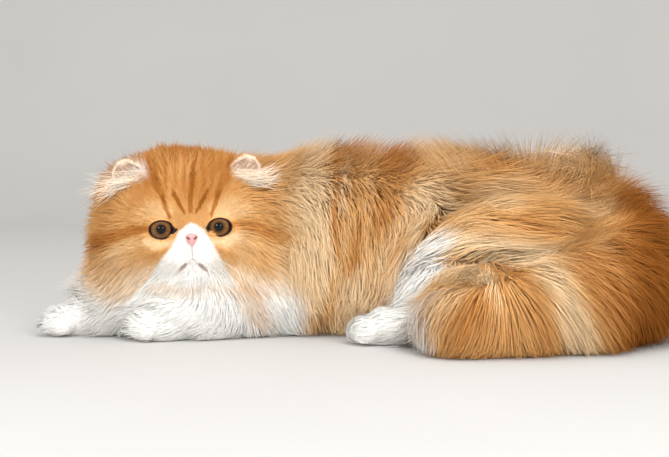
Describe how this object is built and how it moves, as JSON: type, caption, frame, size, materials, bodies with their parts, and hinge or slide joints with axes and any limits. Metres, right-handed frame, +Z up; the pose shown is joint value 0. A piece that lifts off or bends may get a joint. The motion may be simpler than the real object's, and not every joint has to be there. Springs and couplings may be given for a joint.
{
  "type": "persian cat",
  "caption": "Life-size lying long-haired cat with a flat round face, ruff, curled bushy tail and red and white coat, head turned to one side, resting flat on the floor.",
  "frame": {"origin": "on the floor under the middle of the cat's outline", "axes": "+X towards the tail end along the body, -Y towards the viewer, the way the face looks, +Z up"},
  "size_m": [0.5526, 0.343, 0.1685],
  "materials": {
    "red_coat": "long soft red tabby fur",
    "cream_coat": "long soft cream fur",
    "white_coat": "long soft white fur",
    "nose_leather": "moist pink skin",
    "copper_eye": "wet copper-brown eye"
  },
  "bodies": {
    "root": {"eye_left": "copper_eye", "eye_right": "copper_eye", "nose": "nose_leather", "forepaw_left": "white_coat", "forepaw_right": "white_coat", "foreleg_left": "white_coat", "foreleg_right": "white_coat", "hindpaw_left": "white_coat", "hindpaw_right": "white_coat", "trunk": "red_coat", "neck": "cream_coat", "chest": "white_coat", "head": "red_coat", "ear_left": "cream_coat", "ear_right": "cream_coat", "haunch_left": "red_coat", "haunch_right": "red_coat", "tail_base": "red_coat", "tail_middle": "red_coat", "tail_front": "red_coat", "tail_tip": "red_coat"}
  },
  "joints": []
}
